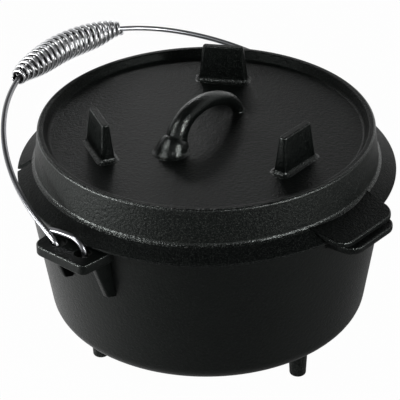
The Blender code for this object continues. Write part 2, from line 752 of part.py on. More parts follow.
def main():
    clear_scene()
    parts = new_collection(OBJECT_NAME)
    tools = new_collection("joining_and_cutting_shapes")
    iron = material("seasoned_cast_iron", (0.020, 0.020, 0.021), 0.45, 0.0)
    steel = material("bright_steel_wire", (0.62, 0.63, 0.65), 0.22, 1.0)
    build_pot(parts, tools, iron)
    build_lid(parts, tools, iron)
    pivot = new_empty("bail_pivot", parts, (0.0, 0.0, PIVOT_Z))
    pivot.rotation_euler = (-math.radians(BAIL_TILT), 0.0, 0.0)
    centre = new_empty("grip_centre", parts, (0.0, 0.0, TOP_CENTRE), pivot)
    build_bail(parts, pivot, steel)
    build_grip(parts, centre, steel)
    bpy.context.view_layer.update()


main()
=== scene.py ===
# %% [markdown]
# # A cast iron camp pot, dressed for a product photograph
#
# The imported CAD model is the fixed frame: a pot casting, a lid casting, a bent wire bail and a
# wound wire grip. Here each of them gets the finer surface that a camera sees: fillets where
# iron flows into iron, rounded edges, the sand's grain, and bright drawn wire. Every new piece
# is worked out with numpy, rides on the CAD body it belongs to, and keeps the CAD's sizes.

# %% Load the frame
import math

import bpy
import numpy as np
from mathutils import Matrix, Vector


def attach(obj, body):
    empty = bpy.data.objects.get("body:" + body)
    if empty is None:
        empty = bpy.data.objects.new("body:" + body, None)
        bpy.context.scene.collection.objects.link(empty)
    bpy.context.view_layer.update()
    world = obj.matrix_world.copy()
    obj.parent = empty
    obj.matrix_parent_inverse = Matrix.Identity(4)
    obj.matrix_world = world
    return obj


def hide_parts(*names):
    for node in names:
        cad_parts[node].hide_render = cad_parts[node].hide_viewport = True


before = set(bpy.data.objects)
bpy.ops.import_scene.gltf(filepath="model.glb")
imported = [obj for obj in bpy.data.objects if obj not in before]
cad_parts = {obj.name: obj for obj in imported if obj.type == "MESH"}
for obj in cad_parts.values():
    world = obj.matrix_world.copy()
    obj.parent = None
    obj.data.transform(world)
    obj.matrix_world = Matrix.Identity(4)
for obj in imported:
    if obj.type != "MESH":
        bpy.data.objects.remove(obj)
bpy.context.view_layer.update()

# %% [markdown]
# ## Sizes
# Everything is in metres. The sizes are those of the CAD source, written again because this
# script can't read that file. Z is up, the origin is on the ground on the pot's axis, the
# bail's ears lie along X, and the bail rests leaning towards +Y.

# %% Sizes of the castings and the wire
LEG_HEIGHT, POT_HEIGHT, POT_RIM, POT_TAPER = 0.0373, 0.1187, 0.1402, 0.0182
POT_WALL, POT_FLOOR, POT_CORNER = 0.0050, 0.0060, 0.0140
RIM_Z, RIM_ROUND = LEG_HEIGHT + POT_HEIGHT, 0.0014
EAR_TOP_Z = RIM_Z - 0.0020
EAR_THICKNESS, EAR_REACH = 0.0085, 0.1655
PIVOT_Z = EAR_TOP_Z - EAR_THICKNESS / 2
EYE_RADIUS, EYE_STEP, EAR_HOLE = 0.0120, 0.0045, 0.0055
WEB_OFFSET, WEB_THICKNESS, WEB_DROP, WEB_SET_BACK = 0.0214, 0.0050, 0.0315, 0.0140
LIFTING_REACH, LIFTING_THICKNESS = 0.1620, 0.0066
LEG_CIRCLE, LEG_ANGLES = 0.0910, (30.0, 150.0, 270.0)

LID_SEAT_Z = RIM_Z + 0.0003
LID_TOP_Z = LID_SEAT_Z + 0.0358
DECK_Z = LID_TOP_Z - 0.0066
LIP, WALL_FOOT, SKIRT = 0.1285, 0.1315, 0.1452
LIP_WIDTH, LIP_SLOPE, RIB = 0.0048, 0.0036, 0.0048
SKIRT_EDGE_Z, SKIRT_BAND = LID_SEAT_Z - 0.0014, 0.0017
FOOT_CIRCLE, FOOT_HEIGHT, FOOT_ANGLES = 0.0845, 0.0293, (31.1, 151.1, 271.1)
FOOT_BASE, FOOT_TOP = (0.0385, 0.0112), (0.0322, 0.0058)
HANDLE_TURN, HANDLE_HEIGHT = 1.1, 0.0252
TAB_REACH, TAB_EDGE_Z, TAB_SLOPE, TAB_THICKNESS = 0.1570, RIM_Z + 0.0030, 0.192, 0.0036

BAIL_HALF_WIDTH, BAIL_REACH, BAIL_TOP_RADIUS = 0.1535, 0.1656, 0.1433
BAIL_WIRE, BAIL_TILT = 0.0021, math.radians(69.2)
TOP_CENTRE = BAIL_REACH - BAIL_TOP_RADIUS
GRIP_WIRE, GRIP_LENGTH, GRIP_TURNS, GRIP_BARREL = 0.0015, 0.1200, 21.5, 0.0117
NEAR_AXIS = 0.004    # a turned profile starts this far out, and a fan closes the middle
print("rim at %.4f m, lid top at %.4f m, pivot at %.5f m" % (RIM_Z, LID_TOP_Z, PIVOT_Z))

# %% [markdown]
# ## From arrays to meshes
# A surface is a grid of points: rows run along it and columns run round it. Neighbouring rows
# and columns give its quads, so no face is written by hand. Where a form ends in a point or a
# flat end, a fan of triangles closes it. Modifiers could make the same forms, but a formula
# keeps every size exact.


# %% A surface from a grid of points
def add_object(name, data):
    """A new object in the scene for the data: a mesh, a curve, a camera or a lamp."""
    item = bpy.data.objects.new(name, data)
    bpy.context.scene.collection.objects.link(item)
    return item


def surface(name, grid, lengths=None):
    """A closed mesh: point (row, column) joins (row, column + 1) and (row + 1, column).

    The last column meets the first, and both ends close with a fan to their middle. With
    lengths, a UV map is made whose U is the length along the rows in metres and V the turn.
    """
    rows, columns = grid.shape[:2]
    index = np.arange(rows * columns).reshape(rows, columns)
    after = np.roll(index, -1, axis=1)
    quads = np.stack([index[:-1], after[:-1], after[1:], index[1:]], axis=-1).reshape(-1, 4)
    ends = rows * columns + np.array([0, 1])
    start = np.stack([after[0], index[0], np.full(columns, ends[0])], axis=-1)
    finish = np.stack([index[-1], after[-1], np.full(columns, ends[1])], axis=-1)
    points = np.concatenate([grid.reshape(-1, 3), [grid[0].mean(0), grid[-1].mean(0)]])
    fans = np.concatenate([start, finish])
    split = np.concatenate([quads[:, [0, 1, 2]], quads[:, [0, 2, 3]], fans])
    corners = points[split]
    volume = np.einsum("ij,ij->i", corners[:, 0], np.cross(corners[:, 1], corners[:, 2])).sum()
    if volume < 0:
        quads, fans = quads[:, ::-1], fans[:, ::-1]
    mesh = bpy.data.meshes.new(name)
    loops = np.concatenate([quads.ravel(), fans.ravel()])
    sizes = np.concatenate([np.full(len(quads), 4), np.full(len(fans), 3)])
    mesh.vertices.add(len(points))
    mesh.vertices.foreach_set("co", points.ravel())
    mesh.loops.add(len(loops))
    mesh.loops.foreach_set("vertex_index", loops.astype(np.int32))
    mesh.polygons.add(len(sizes))
    mesh.polygons.foreach_set("loop_start", (np.cumsum(sizes) - sizes).astype(np.int32))
    mesh.update(calc_edges=True)
    if lengths is not None:
        add_uv(mesh, loops, sizes, rows, columns, lengths)
    mesh.shade_smooth()
    return add_object(name, mesh)


print("a grid of 3 x 4 points gives", 2 * 4, "quads and", 2 * 4, "triangles")

# %% A UV map along the rows
UV_NAME = "along_wire"


def add_uv(mesh, loops, sizes, rows, columns, lengths):
    """U is the length along the rows, V the share of a turn; the seam's last column gets 1."""
    row = np.minimum(loops // columns, rows - 1)
    turn = (loops % columns) / columns
    face = np.repeat(np.arange(len(sizes)), sizes)
    highest = np.zeros(len(sizes))
    np.maximum.at(highest, face, turn)
    turn = np.where((turn == 0) & (highest[face] > 0.6), 1.0, turn)
    layer = mesh.uv_layers.new(name=UV_NAME)
    layer.uv.foreach_set("vector", np.stack([lengths[row], turn], axis=-1).ravel())


print("wires get a UV map named", UV_NAME)

# %% [markdown]
# ## Profiles with rounded corners
# Nothing that is cast has a sharp corner. A profile is given as a short list of corners, each
# with its own radius, and the arcs are worked out from them. The same line can be turned into
# a solid of revolution or used as a flat outline. A Bevel modifier rounds corners too, but
# gives them all one radius.

# %% Small helpers for lines
def unit(vectors):
    """Each vector divided by its length."""
    return vectors / np.linalg.norm(vectors, axis=-1, keepdims=True)


def smoothstep(value, low, high):
    """0 below low, 1 above high, and 3 t² - 2 t³ between them."""
    share = np.clip((value - low) / (high - low), 0.0, 1.0)
    return share * share * (3 - 2 * share)


def inward_of(line, middle):
    """At each point of a closed outline: the direction square to it, on the middle's side."""
    along = unit(np.roll(line, -1, axis=0) - np.roll(line, 1, axis=0))
    inward = np.stack([along[:, 1], -along[:, 0]], axis=-1)
    return inward * np.sign(np.sum(inward * (middle - line), axis=1, keepdims=True))


print("half way along, smoothstep gives", float(smoothstep(0.5, 0.0, 1.0)))


# %% Profiles with rounded corners
def rounded(corners, steps=9, closed=False, support=0.0012):
    """A line through corners (across, up, radius), each corner turned into a tangent arc.

    The arc's spokes turn evenly from the first touching point to the last. On long straight
    runs a point is added just beyond each arc, so that the smooth shading stays in the arc.
    """
    spots = np.array([corner[:2] for corner in corners], float)
    pieces = []
    for i, (_, _, radius) in enumerate(corners):
        here = spots[i]
        if radius <= 0.0:
            pieces.append(here[None])
            continue
        before = unit(spots[i - 1] - here)
        after = unit(spots[(i + 1) % len(spots)] - here)
        half = np.arccos(np.clip(before @ after, -1.0, 1.0)) / 2
        centre = here + unit(before + after) * radius / np.sin(half)
        first = here + before * radius / np.tan(half) - centre
        last = here + after * radius / np.tan(half) - centre
        sweep = np.pi - 2 * half
        share = np.linspace(0.0, 1.0, steps + 1)[:, None]
        spokes = (first * np.sin((1 - share) * sweep) + last * np.sin(share * sweep))
        pieces.append(centre + spokes / np.sin(sweep))
    line = np.concatenate(pieces)
    following = np.roll(line, -1, axis=0) if closed else line[1:]
    starts = line if closed else line[:-1]
    run = following - starts
    length = np.linalg.norm(run, axis=1)
    out = []
    for point, step, size in zip(starts, run, length):
        out.append(point)
        if size > 4 * support:
            out.append(point + step * support / size)
            out.append(point + step * (1 - support / size))
    if not closed:
        out.append(line[-1])
    return np.array(out)


square = rounded([(0, 0, 0.002), (0.01, 0, 0.002), (0.01, 0.01, 0.002), (0, 0.01, 0.002)],
                 closed=True)
print("a 10 mm square with 2 mm corners has", len(square), "points")


# %% Turning and placing
def turned(name, profile, angles, limit=None):
    """A solid of revolution: point (radius cos angle, radius sin angle, height).

    limit, one value for each angle, holds the radius in, as a slot cut in from the edge does.
    """
    radius = np.repeat(profile[:, :1], len(angles), axis=1)
    if limit is not None:
        radius = np.minimum(radius, limit[None, :])
    height = np.repeat(profile[:, 1:], len(angles), axis=1)
    grid = np.stack([radius * np.cos(angles), radius * np.sin(angles), height], axis=-1)
    return surface(name, grid)


def move(item, matrix):
    """Puts an object's place into its mesh, so that the object itself stays at the origin."""
    item.data.transform(matrix)
    item.data.update()
    return item


def turn_z(degrees):
    """The matrix of a turn about the pot's axis."""
    return Matrix.Rotation(math.radians(degrees), 4, "Z")


print("a quarter turn takes X to", tuple(round(c) for c in turn_z(90.0) @ Vector((1, 0, 0))))

# %% [markdown]
# ## Finishes
# Cast iron is poured into sand, so its skin keeps the sand's grain. Oil baked on it, the
# seasoning, makes it black with a satin gloss: a thin hard film, not bare metal, so it isn't
# metallic in the shader. The gloss comes from the film, and the grain breaks it into sparks.


# %% Colour and node helpers
def colour(hex_text):
    """An sRGB hex colour, such as "1A1A1B", as the linear numbers that shaders use."""
    channels = [int(hex_text[i:i + 2], 16) / 255 for i in (0, 2, 4)]
    linear = [c / 12.92 if c <= 0.04045 else ((c + 0.055) / 1.055) ** 2.4 for c in channels]
    return (*linear, 1.0)


def add_node(tree, kind, settings=None, sockets=None):
    """A shader node with its settings; a socket takes a number, a colour or another's output."""
    made = tree.nodes.new(kind)
    for key, value in (settings or {}).items():
        setattr(made, key, value)
    for key, value in (sockets or {}).items():
        if isinstance(value, bpy.types.NodeSocket):
            tree.links.new(value, made.inputs[key])
        else:
            made.inputs[key].default_value = value
    return made


def maths(tree, operation, *values):
    """The result of one sum, product or other operation on numbers or outputs."""
    return add_node(tree, "ShaderNodeMath", {"operation": operation},
                    dict(enumerate(values))).outputs[0]


def mapped(tree, value, low, high, to_low=0.0, to_high=1.0, smooth=False):
    """The value's range from low to high, laid on the range from to_low to to_high."""
    settings = {"interpolation_type": "SMOOTHSTEP" if smooth else "LINEAR"}
    sockets = {"Value": value, "From Min": low, "From Max": high, "To Min": to_low,
               "To Max": to_high}
    return add_node(tree, "ShaderNodeMapRange", settings, sockets).outputs["Result"]


def mix_colours(tree, factor, first, second):
    """The first colour at factor 0, the second at 1."""
    return add_node(tree, "ShaderNodeMix", {"data_type": "RGBA"},
                    {"Factor": factor, "A": first, "B": second}).outputs["Result"]


def noise(tree, place, scale, detail, roughness=0.5):
    """Cloudy noise, 0 to 1, with about scale clouds for each metre."""
    return add_node(tree, "ShaderNodeTexNoise", None,
                    {"Vector": place, "Scale": scale, "Detail": detail,
                     "Roughness": roughness}).outputs["Fac"]


def new_material(name):
    """A material with its own Principled shader; returns it, its tree and the shader."""
    made = bpy.data.materials.new(name)
    made.use_nodes = True
    return made, made.node_tree, made.node_tree.nodes["Principled BSDF"]


print("the hex grey 808080 is %.3f in linear light" % colour("808080")[0])

# %% [markdown]
# ### Seasoned cast iron
# Three layers of noise make the skin: broad clouds where the oil went on thicker, the sand's
# grain, and wider pits. The grain moves the surface (bump) and changes its gloss, and its tops
# are paler: partly wear, partly painted glints of light. An image texture would do it too, but
# noise has no seams and a real scale.

# %% Seasoned cast iron
OIL_CLOUD = 28.0    # clouds for each metre: patches of about 36 mm
PIT_SHARE = 0.4     # the pits are 2.5 times as wide as the grain
PIT_HEIGHT = 1.4    # and 1.4 times as deep
GLOSS_SPREAD = 0.09    # the roughness goes this far up and down with the grain
RUBBED_AND_GLINT_TOPS = (0.52, 0.76)    # the grain's heights where the paler colour, wear and painted glints, starts and is full


def cast_iron(name, dark, light, speck, roughness, grain, depth, specular):
    """Sand-cast iron with baked oil.

    grain is the size of the sand's marks in metres and depth their height. Real sand of 0.2 mm
    would be lost in the picture, so the marks are drawn four to five times as coarse. The tops
    of the marks take the paler speck colour, partly wear and partly painted glints of light.
    The sheen is tinted very slightly green.
    """
    made, tree, shader = new_material(name)
    place = add_node(tree, "ShaderNodeTexCoord").outputs["Object"]
    cloud = noise(tree, place, OIL_CLOUD, 3.0, 0.55)
    sand = noise(tree, place, 1.0 / grain, 2.0, 0.6)
    pits = noise(tree, place, PIT_SHARE / grain, 1.0)
    tone = mix_colours(tree, cloud, colour(dark), colour(light))
    # The grain's tops take the paler speck colour: partly wear, partly painted glints of light.
    rubbed_and_glints = mix_colours(tree, mapped(tree, sand, *RUBBED_AND_GLINT_TOPS), tone, colour(speck))
    gloss = mapped(tree, sand, 0.3, 0.7, roughness - GLOSS_SPREAD, roughness + GLOSS_SPREAD)
    bump = add_node(tree, "ShaderNodeBump", None,
                    {"Height": maths(tree, "MULTIPLY_ADD", pits, PIT_HEIGHT, sand),
                     "Strength": 1.0, "Distance": depth})
    tree.links.new(rubbed_and_glints, shader.inputs["Base Color"])
    tree.links.new(gloss, shader.inputs["Roughness"])
    tree.links.new(bump.outputs["Normal"], shader.inputs["Normal"])
    shader.inputs["Specular IOR Level"].default_value = specular
    shader.inputs["Specular Tint"].default_value = colour("F7FFFB")
    return made


print("the iron's pits are %.1f to %.1f mm wide" % (0.8 / PIT_SHARE, 1.0 / PIT_SHARE))

# %% [markdown]
# ### One iron, six places
# The same casting looks different from place to place: the deck is flat and even, the lid's
# walls show more grain, edges catch the light, the handle is the glossiest, and the skirt, tab
# and lifting ear are painted a shade darker. One material with a painted mask could hold them
# all, but a material for each place is easier to read and to change. The numbers are two base
# colours, the speck, roughness, grain, depth and specular level. The level is low on the broad
# faces, to reach the deep black that they have.

# %% The irons
# A flat top: one soft broad sheen.
deck_iron = cast_iron("seasoned_cast_iron_deck", "020303", "050706", "2A2D2B", 0.36, 0.0009,
                      0.00024, 0.08)
# Coarse sand skin on the lid's wall and the legs: matt, with many small sparks, partly painted as
# pale specks.
wall_iron = cast_iron("seasoned_cast_iron_wall", "020303", "050706", "3A3D3A", 0.42, 0.0008,
                      0.00034, 0.12)
# The same skin on the skirt, tab and lifting ear, made a deeper black: a darker copy, painted
# shade.
flange_iron_painted_shade = cast_iron("seasoned_cast_iron_flange_painted_shade", "020303", "040505", "292C2A", 0.44, 0.0008,
                        0.00034, 0.08)
# The pot's body is smoother than the lid: hardly any grain, an even satin.
pot_iron = cast_iron("seasoned_cast_iron_pot", "020303", "050706", "141715", 0.38, 0.0010,
                     0.00014, 0.14)
# Edges: smoother and glossier, so a thin bright line runs along them.
edge_iron = cast_iron("seasoned_cast_iron_edge", "040505", "080A09", "282B28", 0.25, 0.0008,
                      0.00030, 0.50)
# The handle: the glossiest, so its highlights are small and bright.
handled_iron = cast_iron("seasoned_cast_iron_handled", "030404", "060807", "2A2D2B", 0.17, 0.0008,
                         0.00020, 0.50)
print("irons:", [m.name for m in bpy.data.materials if "iron" in m.name])

# %% [markdown]
# ### Bright steel wire
# Spring wire is drawn through a die, which leaves fine scratches along it. The scratches must
# follow the wire round every bend, so this finish reads the piece's own UV map: U is the length
# along the wire in metres, V the share of a turn round it.

# %% Bright steel wire
SCRATCHES = (60.0, 14.0)    # for each metre along, 17 mm long; and round the wire
SHADE_SIDE_TURNS = (0.17, 0.28)       # turns away from the lit side where the painted shade starts and is full


def steel_wire(name, roughness, dull, bright, shade_colour):
    """Spring wire drawn through a die: bright bare steel with fine scratches along its length.

    V, the share of a turn round the wire, is 0.5 on the lit side. From about a quarter turn
    away from it the wire takes the shade colour, a painted shade.
    """
    made, tree, shader = new_material(name)
    along = add_node(tree, "ShaderNodeUVMap", {"uv_map": UV_NAME}).outputs["UV"]
    stretched = add_node(tree, "ShaderNodeMapping", None,
                         {"Vector": along, "Scale": (*SCRATCHES, 1.0)})
    drawn = noise(tree, stretched.outputs["Vector"], 1.0, 3.0)
    unshaded_tone = mix_colours(tree, drawn, colour(dull), colour(bright))
    turn = add_node(tree, "ShaderNodeSeparateXYZ", None, {0: along}).outputs["Y"]
    off_side = maths(tree, "ABSOLUTE", maths(tree, "SUBTRACT", turn, 0.5))
    # Painted shade: the wire darkens away from its lit side.
    shade_side = mapped(tree, off_side, *SHADE_SIDE_TURNS, smooth=True)
    tone = mix_colours(tree, shade_side, unshaded_tone, colour(shade_colour))
    gloss = mapped(tree, drawn, 0.0, 1.0, roughness - 0.06, roughness + 0.08)
    tree.links.new(tone, shader.inputs["Base Color"])
    tree.links.new(gloss, shader.inputs["Roughness"])
    shader.inputs["Metallic"].default_value = 1.0
    return made


# The bail: bright all round, with a little painted shade on one side.
bright_wire = steel_wire("bright_drawn_steel", 0.30, "A4A5A8", "CFD0D3", "8A8B8E")
# The grip's coil: bright outside, with dark painted shade between the turns.
grip_steel = steel_wire("bright_drawn_steel_coil", 0.30, "C8C9CC", "ECEDEF", "161617")
print("wires:", [m.name for m in bpy.data.materials if "steel" in m.name])

# %% [markdown]
# ## Fitting a piece
# Each piece gets its finish, its body and its material slot in one place. A casting's edges
# then take the rubbed finish: its faces are chosen by where they are and how far they face up,
# so no edge has to be picked by hand.

# %% Fitting a piece to the frame
def fit(item, finish, body, slot, *nodes):
    """The piece gets its finish, moves with its body and stands for the CAD nodes named."""
    item.data.materials.clear()
    item.data.materials.append(finish)
    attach(item, body)
    if nodes:
        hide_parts(*nodes)
    print("%s: %d faces on %s" % (item.name, len(item.data.polygons), body))
    return item


def worn(item, finish, choose):
    """Faces that are chosen by their middle's place and their normal's rise (1 faces up, 0
    sideways) take a second finish."""
    count = len(item.data.polygons)
    centres, normals = np.empty(count * 3), np.empty(count * 3)
    item.data.polygons.foreach_get("center", centres)
    item.data.polygons.foreach_get("normal", normals)
    index = np.zeros(count, np.int32)
    item.data.polygons.foreach_get("material_index", index)
    item.data.materials.append(finish)
    chosen = choose(*centres.reshape(-1, 3).T, normals.reshape(-1, 3)[:, 2])
    index[chosen] = len(item.data.materials) - 1
    item.data.polygons.foreach_set("material_index", index)


def top_edges(x, y, z, rise):
    """The rounded upper edges of a casting's plates: neither flat nor upright."""
    return (rise > 0.25) & (rise < 0.94)


def ear_edges(x, y, z, rise):
    """An ear's outer upper edges, without the rims of its holes."""
    outer = (np.abs(y) > 0.0215) | (np.hypot(x, y) > 0.1592)
    return top_edges(x, y, z, rise) & outer & (np.hypot(x, y) > 0.1440)


# %% [markdown]
# ## The pot casting
# The pot is a solid of revolution with a round foot and a rounded rim. Its profile is the one
# that the CAD model turns, with more steps in each arc. A Screw modifier could turn it, but
# the grid function does the same for the lid, where a slot has to be held in.

# %% Pot shell
def pot_radius(z):
    """Outer radius of the pot's wall at height z: it grows evenly from the floor to the rim."""
    return POT_RIM - POT_TAPER + POT_TAPER / POT_HEIGHT * (z - LEG_HEIGHT)


inner_floor = LEG_HEIGHT + POT_FLOOR
pot_profile = rounded([
    (NEAR_AXIS, inner_floor, 0.0),
    (pot_radius(inner_floor) - POT_WALL, inner_floor, POT_CORNER - POT_WALL / 2),
    (POT_RIM - POT_WALL, RIM_Z, RIM_ROUND),
    (POT_RIM, RIM_Z, RIM_ROUND),
    (POT_RIM - POT_TAPER, LEG_HEIGHT, POT_CORNER),
    (NEAR_AXIS, LEG_HEIGHT, 0.0),
])    # each corner is (radius, height, rounding)
even_angles = np.linspace(0.0, 2 * np.pi, 288, endpoint=False)
pot_shell = turned("pot_shell", pot_profile, even_angles)
fit(pot_shell, pot_iron, "pot", "seasoned_cast_iron", "pot")

# %% [markdown]
# ### Legs
# Each leg is a short round peg. Iron can't be cast into a sharp inner corner, so the peg
# spreads into the pot's floor in a quarter-round fillet. A Boolean union with a Bevel could
# make that, but turning the leg with its fillet gives clean rings, and its root hides in the
# pot's floor.

# %% Legs
leg_spread, leg_root, leg_tip, leg_middle = 0.0134, 0.0082, 0.0064, 0.001
leg_sunk = LEG_HEIGHT + 0.0030
fillet_z = LEG_HEIGHT - 0.00005    # a hair below the floor, so that the two faces don't mix
leg_profile = rounded([
    (leg_middle, leg_sunk, 0.0),
    (leg_spread, leg_sunk, 0.0),
    (leg_spread, fillet_z, 0.0),
    (leg_root, fillet_z, 0.0042),
    (leg_tip, 0.0, 0.0018),
    (leg_middle, 0.0, 0.0),
], steps=7)
leg_angles = np.linspace(0.0, 2 * np.pi, 56, endpoint=False)
for number, angle in enumerate(LEG_ANGLES, start=1):
    leg = turned("pot_leg_%d" % number, leg_profile, leg_angles)
    move(leg, turn_z(angle) @ Matrix.Translation((LEG_CIRCLE, 0.0, 0.0)))
    fit(leg, wall_iron, "pot", "seasoned_cast_iron")

# %% [markdown]
# ### Ears and webs
# Ears are flat shelves with round corners and two holes for the bail, and webs stand under
# them. A Boolean could cut the holes, but a flat filled curve makes the plate with its holes
# in one go, and its bevel rounds every edge, as on the real casting.


# %% A flat plate with holes and rounded edges
BEVEL_STEPS = 4


def plate(name, outline, thickness, edge, matrix, holes=()):
    """A plate in the XY plane between -thickness/2 and +thickness/2, moved by the matrix."""
    curve = bpy.data.curves.new(name, "CURVE")
    curve.dimensions = "2D"
    curve.fill_mode = "BOTH"
    curve.extrude = thickness / 2 - edge
    curve.bevel_depth = edge
    curve.bevel_resolution = BEVEL_STEPS
    curve.offset = -edge
    for line in (outline, *holes):
        spline = curve.splines.new("POLY")
        spline.points.add(len(line) - 1)
        flat = np.zeros((len(line), 4))
        flat[:, :2] = line
        flat[:, 3] = 1.0
        spline.points.foreach_set("co", flat.ravel())
        spline.use_cyclic_u = True
    source = add_object(name + "_outline", curve)
    mesh = bpy.data.meshes.new_from_object(
        source.evaluated_get(bpy.context.evaluated_depsgraph_get()))
    bpy.data.objects.remove(source, do_unlink=True)
    mesh.name = name
    mesh.transform(matrix)
    mesh.shade_smooth()
    mesh.set_sharp_from_angle(angle=math.radians(50.0))
    return add_object(name, mesh)


print("a plate's edge is rounded in", BEVEL_STEPS + 1, "steps")

# %% Outlines of shelves and holes
def shelf(reach, root_half, tip_half, corners, root):
    """A shelf's outline along +X: an arc inside the round wall, two sides, a rounded tip.

    corners are the radii of its two free corners, on the -Y side first.
    """
    spread = math.asin(root_half / root)
    turn = np.linspace(spread, -spread, 25)
    arc = np.stack([root * np.cos(turn), root * np.sin(turn)], axis=-1)
    free = rounded([(*arc[-1], 0.0), (reach, -tip_half, corners[0]), (reach, tip_half, corners[1]),
                    (*arc[0], 0.0)], steps=10)
    return np.concatenate([arc, free[1:-1]])


def circle(x, y, radius, count=40):
    """A hole's outline: (x + radius cos turn, y + radius sin turn)."""
    turn = np.linspace(0.0, 2 * np.pi, count, endpoint=False)
    return np.stack([x + radius * np.cos(turn), y + radius * np.sin(turn)], axis=-1)


hole_x = BAIL_HALF_WIDTH - EYE_STEP / 2
print("the ears' holes stand %.1f mm out from the pot's axis" % (hole_x * 1000))

# %% Bail ears with their webs
in_wall = pot_radius(PIVOT_Z) - POT_WALL / 2
ear_outline = shelf(EAR_REACH, root_half=0.0280, tip_half=0.0252, corners=(0.0085, 0.0052),
                    root=in_wall)
ear_holes = [circle(hole_x, side * EYE_RADIUS, EAR_HOLE) for side in (-1, 1)]
web_foot = EAR_TOP_Z - EAR_THICKNESS - WEB_DROP
web_sunk, web_round, web_nose = 0.0034, 0.0036, 0.0060
web_outline = rounded([
    (pot_radius(PIVOT_Z) - web_sunk, PIVOT_Z, 0.0),
    (pot_radius(web_foot - web_round) - web_sunk, web_foot - web_round, 0.0),
    (pot_radius(web_foot) + web_nose, web_foot, web_round),
    (EAR_REACH - WEB_SET_BACK, EAR_TOP_Z - EAR_THICKNESS, 0.0),
    (EAR_REACH - WEB_SET_BACK, PIVOT_Z, 0.0),
], closed=True)
for side_name, angle in (("right", 0.0), ("left", 180.0)):
    turn = turn_z(angle)
    ear = plate("pot_ear_" + side_name, ear_outline, EAR_THICKNESS, 0.0014,
                turn @ Matrix.Translation((0.0, 0.0, PIVOT_Z)), ear_holes)
    fit(ear, pot_iron, "pot", "seasoned_cast_iron")
    worn(ear, edge_iron, ear_edges)
    for letter, side in (("a", -1), ("b", 1)):
        upright = Matrix.Rotation(math.radians(90.0), 4, "X")
        web = plate("pot_web_%s_%s" % (side_name, letter), web_outline, WEB_THICKNESS, 0.0012,
                    turn @ Matrix.Translation((0.0, side * WEB_OFFSET, 0.0)) @ upright)
        fit(web, pot_iron, "pot", "seasoned_cast_iron")

# %% [markdown]
# ### Lifting ear
# The ear at the front is thinner than the other two, and its lower edge is much rounder than
# its upper one, where fingers lift the pot. A filled curve rounds both edges alike, so this
# slab is made from rings of its outline instead, each moved in by its own amount.

# %% Lifting ear
def slab_rings(line, middle, top_z, thickness, top_edge, low_edge):
    """Rings of a flat slab: out under it, round its lower edge, up, round its upper edge, in.

    On a rounded edge of radius r the outline moves in by r (1 - cos t) at height r sin t.
    """
    inward = inward_of(line, middle)
    turn = np.linspace(0.0, np.pi / 2, 8)
    low_inset, low_rise = low_edge * (1 - np.sin(turn)), low_edge * (1 - np.cos(turn))
    top_inset, top_drop = top_edge * (1 - np.cos(turn)), top_edge * (1 - np.sin(turn))
    insets = np.concatenate([low_inset, top_inset])
    heights = np.concatenate([top_z - thickness + low_rise, top_z - top_drop])
    edge = line[None] + inward[None] * insets[:, None, None]
    rings = np.concatenate([edge, np.repeat(heights[:, None, None], len(line), axis=1)], axis=2)
    under, over = rings[0], rings[-1]
    shares = np.array([0.1, 0.5, 0.9, 0.97])[:, None, None]
    pull = np.append(middle, 0.0)

    def filled(ring, share):
        """The ring drawn in level: a share of 1 leaves it, and 0 is its middle."""
        return pull * (1 - share) * [1, 1, 0] + ring * (share * [1, 1, 0] + [0, 0, 1])

    return np.concatenate([filled(under, shares), rings, filled(over, shares[::-1])])


front_outline = shelf(LIFTING_REACH, root_half=0.0285, tip_half=0.0262,
                      corners=(0.0110, 0.0110), root=in_wall)
front_rings = slab_rings(front_outline, np.array([0.1480, 0.0]), EAR_TOP_Z, LIFTING_THICKNESS,
                         top_edge=0.0012, low_edge=0.0030)
front_ear = surface("pot_lifting_ear", front_rings)
move(front_ear, turn_z(-90.0))
# The lifting ear takes the skirt's darker iron: painted shade.
fit(front_ear, flange_iron_painted_shade, "pot", "seasoned_cast_iron")
worn(front_ear, edge_iron, top_edges)

# %% [markdown]
# ## The lid casting
# The lid is turned as well: a flat deck inside a raised lip, a steep wall and a skirt that
# flares out over the rim. A small round-ended slot for a probe's cable is cut into the skirt,
# so the grid of angles is made denser there, and the radius is held in along the slot. A
# Boolean could cut it, but would leave long thin faces in the skirt's smooth shading.

# %% Lid profile, from the middle of the deck out, down and back under it
skirt_top = LID_SEAT_Z + 0.0086
rib_outer = POT_RIM - POT_WALL - 0.0018
under_deck = DECK_Z - 0.0050
lid_profile = rounded([
    (NEAR_AXIS, DECK_Z, 0.0),
    (LIP - LIP_WIDTH - LIP_SLOPE, DECK_Z, 0.0030),
    (LIP - LIP_WIDTH, LID_TOP_Z, 0.0016),
    (LIP, LID_TOP_Z, 0.0018),
    (WALL_FOOT, skirt_top, 0.0030),
    (SKIRT, SKIRT_EDGE_Z + SKIRT_BAND, 0.0010),
    (SKIRT, SKIRT_EDGE_Z, 0.0007),
    (SKIRT - 0.0012, SKIRT_EDGE_Z, 0.0),
    (POT_RIM, LID_SEAT_Z, 0.0),
    (rib_outer, LID_SEAT_Z, 0.0),
    (rib_outer, LID_SEAT_Z - RIB, 0.0010),
    (rib_outer - RIB, LID_SEAT_Z - RIB, 0.0010),
    (LIP - LIP_WIDTH, under_deck, 0.0040),
    (NEAR_AXIS, under_deck, 0.0),
])
print("the lid's profile has", len(lid_profile), "points")

